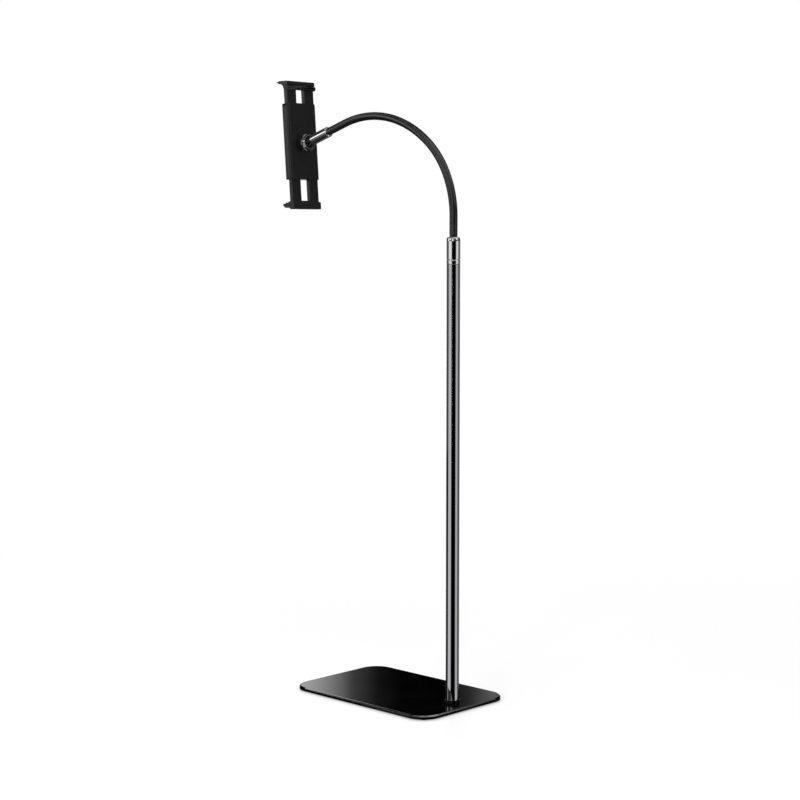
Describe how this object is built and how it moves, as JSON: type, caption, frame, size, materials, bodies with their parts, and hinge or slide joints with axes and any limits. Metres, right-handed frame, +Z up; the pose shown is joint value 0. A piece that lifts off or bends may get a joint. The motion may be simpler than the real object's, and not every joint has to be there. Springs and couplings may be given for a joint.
{
  "type": "tablet floor stand",
  "caption": "Free-standing tablet stand: flat weighted base, slim post, bendable gooseneck and a clamp holder with sliding hooked jaws on a ball joint.",
  "frame": {"origin": "on the floor, under the middle of the whole stand's outline, and midway across the base", "axes": "+Z up along the post; the gooseneck and the long end of the base point along -X; the holder is seen from behind when looking along -X"},
  "size_m": [0.3974, 0.195, 0.9812],
  "materials": {
    "gloss_black_steel": "gloss black baked enamel",
    "black_chrome": "black chrome plate",
    "chrome": "bright chrome plate",
    "zinc_steel": "zinc plated",
    "black_rubber": "matt",
    "neck_sleeve": "satin sleeve",
    "black_nylon": "polished moulding",
    "holder_black": "fine satin moulding",
    "silicone": "matt"
  },
  "bodies": {
    "stand": {"base_plate": "gloss_black_steel", "base_feet": "black_rubber", "base_screw": "zinc_steel", "post_foot_ring": "gloss_black_steel", "post_foot_plug": "zinc_steel", "post_tube": "black_chrome", "post_top_plug": "zinc_steel", "neck_stud": "zinc_steel", "neck_ferrule": "chrome", "neck_link_01": "neck_sleeve"},
    "neck_02": {"neck_link_02": "neck_sleeve"},
    "neck_03": {"neck_link_03": "neck_sleeve"},
    "neck_04": {"neck_link_04": "neck_sleeve"},
    "neck_05": {"neck_link_05": "neck_sleeve"},
    "neck_06": {"neck_link_06": "neck_sleeve"},
    "neck_07": {"neck_link_07": "neck_sleeve"},
    "neck_08": {"neck_link_08": "neck_sleeve"},
    "neck_09": {"neck_link_09": "neck_sleeve"},
    "neck_10": {"neck_link_10": "neck_sleeve"},
    "neck_11": {"neck_link_11": "neck_sleeve"},
    "neck_12": {"neck_link_12": "neck_sleeve"},
    "neck_13": {"neck_link_13": "neck_sleeve", "end_ferrule": "chrome", "ball_stud": "black_chrome"},
    "ball_liner": {"ball_liner": "black_nylon"},
    "lock_nut": {"lock_nut": "black_chrome"},
    "holder": {"holder_back": "holder_black", "holder_front": "holder_black", "holder_screws": "zinc_steel", "front_pads": "silicone", "rail_brakes": "black_rubber"},
    "upper_jaw": {"upper_jaw": "holder_black", "upper_hook_pad": "silicone"},
    "lower_jaw": {"lower_jaw": "holder_black", "lower_hook_pad": "silicone"}
  },
  "joints": [
    {"name": "neck_sway_1", "type": "hinge", "parent": "stand", "child": "neck_02", "pos_m": [0.1667, 0, 0.7462], "axis": [1, 0, 0], "range_deg": [-15, 15]},
    {"name": "neck_bend_1", "type": "hinge", "parent": "neck_02", "child": "neck_03", "pos_m": [0.1667, 0, 0.77312], "axis": [0, -1, 0], "range_deg": [-10.75, 6]},
    {"name": "neck_bend_2", "type": "hinge", "parent": "neck_03", "child": "neck_04", "pos_m": [0.16151, 0, 0.80049], "axis": [0, -1, 0], "range_deg": [-10.75, 6]},
    {"name": "neck_bend_3", "type": "hinge", "parent": "neck_04", "child": "neck_05", "pos_m": [0.1513, 0, 0.8264], "axis": [0, -1, 0], "range_deg": [-10.75, 6]},
    {"name": "neck_bend_4", "type": "hinge", "parent": "neck_05", "child": "neck_06", "pos_m": [0.13644, 0, 0.84995], "axis": [0, -1, 0], "range_deg": [-10.75, 6]},
    {"name": "neck_bend_5", "type": "hinge", "parent": "neck_06", "child": "neck_07", "pos_m": [0.11708, 0, 0.87071], "axis": [0, -1, 0], "range_deg": [-10.75, 6]},
    {"name": "neck_bend_6", "type": "hinge", "parent": "neck_07", "child": "neck_08", "pos_m": [0.08913, 0, 0.89121], "axis": [0, -1, 0], "range_deg": [-10.75, 6]},
    {"name": "neck_bend_7", "type": "hinge", "parent": "neck_08", "child": "neck_09", "pos_m": [0.05618, 0, 0.90692], "axis": [0, -1, 0], "range_deg": [-10.75, 6]},
    {"name": "neck_sway_2", "type": "hinge", "parent": "neck_09", "child": "neck_10", "pos_m": [0.03853, 0, 0.91157], "axis": [0.2546, 0, 0.967], "range_deg": [-15, 15]},
    {"name": "neck_bend_8", "type": "hinge", "parent": "neck_10", "child": "neck_11", "pos_m": [0.02088, 0, 0.91622], "axis": [0, -1, 0], "range_deg": [-10.75, 6]},
    {"name": "neck_bend_9", "type": "hinge", "parent": "neck_11", "child": "neck_12", "pos_m": [-0.01554, 0, 0.91876], "axis": [0, -1, 0], "range_deg": [-10.75, 6]},
    {"name": "neck_bend_10", "type": "hinge", "parent": "neck_12", "child": "neck_13", "pos_m": [-0.0518, 0, 0.91447], "axis": [0, -1, 0], "range_deg": [-10.75, 6]},
    {"name": "holder_pan", "type": "hinge", "parent": "neck_13", "child": "ball_liner", "pos_m": [-0.15532, 0, 0.88183], "axis": [-0.075, 0, 0.9972], "range_deg": [-28, 28]},
    {"name": "holder_tilt", "type": "hinge", "parent": "ball_liner", "child": "lock_nut", "pos_m": [-0.15532, 0, 0.88183], "axis": [0, 1, 0], "range_deg": [-42, 16]},
    {"name": "holder_spin", "type": "hinge", "parent": "lock_nut", "child": "holder", "pos_m": [-0.15532, 0, 0.88183], "axis": [0.9972, 0, 0.075], "continuous": true},
    {"name": "upper_jaw_slide", "type": "slide", "parent": "holder", "child": "upper_jaw", "axis": [-0.075, 0, 0.9972], "range_m": [-0.02, 0.02]},
    {"name": "lower_jaw_slide", "type": "slide", "parent": "holder", "child": "lower_jaw", "axis": [0.075, 0, -0.9972], "range_m": [-0.033, 0.012]}
  ],
  "couplings": [
    {"joint": "neck_bend_2", "follows": "neck_bend_1", "ratio": 1},
    {"joint": "neck_bend_3", "follows": "neck_bend_1", "ratio": 1},
    {"joint": "neck_bend_4", "follows": "neck_bend_1", "ratio": 1},
    {"joint": "neck_bend_5", "follows": "neck_bend_1", "ratio": 1},
    {"joint": "neck_bend_6", "follows": "neck_bend_1", "ratio": 1},
    {"joint": "neck_bend_7", "follows": "neck_bend_1", "ratio": 1},
    {"joint": "neck_sway_2", "follows": "neck_sway_1", "ratio": 1},
    {"joint": "neck_bend_8", "follows": "neck_bend_1", "ratio": 1},
    {"joint": "neck_bend_9", "follows": "neck_bend_1", "ratio": 1},
    {"joint": "neck_bend_10", "follows": "neck_bend_1", "ratio": 1}
  ]
}
